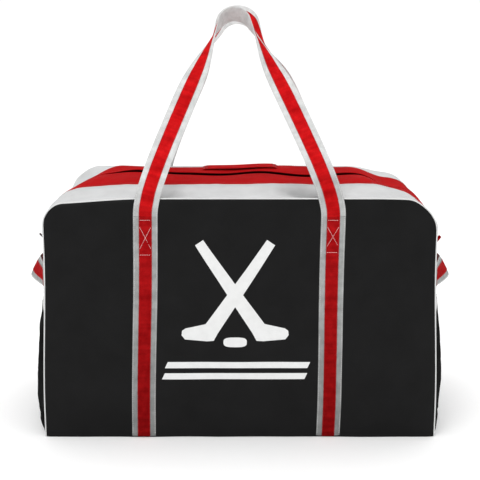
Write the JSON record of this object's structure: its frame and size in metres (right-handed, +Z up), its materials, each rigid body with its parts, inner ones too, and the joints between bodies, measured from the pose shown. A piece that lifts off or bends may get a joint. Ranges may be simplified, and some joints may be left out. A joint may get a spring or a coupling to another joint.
{
  "type": "hockey equipment bag",
  "caption": "Boxy team bag with round top corners, a long top zip between two flaps, two standing webbing carry handles that meet over the middle, and a grab handle on each end.",
  "frame": {"origin": "on the floor under the middle of the bag", "axes": "+X along the bag, the front panel faces -Y, +Z up"},
  "size_m": [0.9426, 0.4396, 0.8994],
  "materials": {
    "black_vinyl": "smooth coated cloth, satin",
    "black_nylon": "coated nylon, satin",
    "piping": "smooth vinyl piping",
    "white_band": "smooth coated cloth, satin",
    "red_fabric": "smooth coated cloth, satin",
    "white_webbing": "woven webbing, matt",
    "red_webbing": "woven webbing, matt",
    "zip_tape": "knitted tape, matt",
    "zip_teeth": "coil or moulded teeth",
    "zip_metal": "black enamelled die casting",
    "pull_tab": "folded webbing tab"
  },
  "bodies": {
    "shell": {"back_panel": "black_vinyl", "back_piping": "piping", "bottom_panel": "black_nylon", "front_panel": "black_vinyl", "front_piping": "piping", "front_top_band": "white_band", "left_end_panel": "black_nylon", "left_front_red_band": "red_fabric", "left_grab_tails": "white_webbing", "left_rear_red_band": "red_fabric", "left_strap": "white_webbing", "left_strap_stripe": "red_webbing", "left_zip_end_cover": "red_fabric", "left_zip_stop": "zip_teeth", "left_zip_tape": "zip_tape", "left_zip_teeth": "zip_teeth", "rear_top_band": "white_band", "right_end_panel": "black_nylon", "right_front_red_band": "red_fabric", "right_grab_tails": "white_webbing", "right_rear_red_band": "red_fabric", "right_strap": "white_webbing", "right_strap_stripe": "red_webbing", "right_zip_end_cover": "red_fabric", "right_zip_stop": "zip_teeth", "right_zip_tape": "zip_tape", "right_zip_teeth": "zip_teeth"},
    "front_handle": {"front_handle": "white_webbing", "front_handle_stripe": "red_webbing"},
    "rear_handle": {"rear_handle": "white_webbing", "rear_handle_stripe": "red_webbing"},
    "front_flap": {"front_flap": "red_fabric", "front_zip_tape": "zip_tape", "front_zip_teeth": "zip_teeth"},
    "rear_flap": {"rear_flap": "red_fabric", "rear_zip_tape": "zip_tape", "rear_zip_teeth": "zip_teeth", "top_sleeve": "red_webbing"},
    "left_slider": {"left_slider": "zip_metal"},
    "right_slider": {"right_slider": "zip_metal"},
    "left_pull": {"left_pull": "zip_metal"},
    "right_pull": {"right_pull": "pull_tab"},
    "left_grab": {"left_grab_handle": "white_webbing", "left_grab_stripe": "red_webbing"},
    "right_grab": {"right_grab_handle": "white_webbing", "right_grab_stripe": "red_webbing"}
  },
  "joints": [
    {"name": "front_handle_swing", "type": "hinge", "parent": "shell", "child": "front_handle", "pos_m": [0, -0.2204, 0.4766], "axis": [1, 0, 0], "range_deg": [0, 172]},
    {"name": "rear_handle_swing", "type": "hinge", "parent": "shell", "child": "rear_handle", "pos_m": [0, 0.2204, 0.4766], "axis": [-1, 0, 0], "range_deg": [0, 172]},
    {"name": "front_flap_open", "type": "hinge", "parent": "shell", "child": "front_flap", "pos_m": [0, -0.12, 0.5311], "axis": [1, 0, 0], "range_deg": [0, 85]},
    {"name": "rear_flap_open", "type": "hinge", "parent": "shell", "child": "rear_flap", "pos_m": [0, 0.12, 0.5311], "axis": [-1, 0, 0], "range_deg": [0, 85]},
    {"name": "left_slider_slide", "type": "slide", "parent": "shell", "child": "left_slider", "axis": [0.0704, 0, 0.9975], "range_m": [0, 0.06]},
    {"name": "left_pull_swing", "type": "hinge", "parent": "left_slider", "child": "left_pull", "pos_m": [-0.42941, 0, 0.37449], "axis": [0, 1, 0], "range_deg": [0, 38]},
    {"name": "left_grab_lift", "type": "hinge", "parent": "shell", "child": "left_grab", "pos_m": [-0.4246, 0, 0.3588], "axis": [0, 1, 0], "range_deg": [0, 60]},
    {"name": "right_slider_slide", "type": "slide", "parent": "shell", "child": "right_slider", "axis": [-0.0704, 0, 0.9975], "range_m": [0, 0.06]},
    {"name": "right_pull_swing", "type": "hinge", "parent": "right_slider", "child": "right_pull", "pos_m": [0.42941, 0, 0.37449], "axis": [0, -1, 0], "range_deg": [0, 38]},
    {"name": "right_grab_lift", "type": "hinge", "parent": "shell", "child": "right_grab", "pos_m": [0.4246, 0, 0.3588], "axis": [0, -1, 0], "range_deg": [0, 60]}
  ]
}
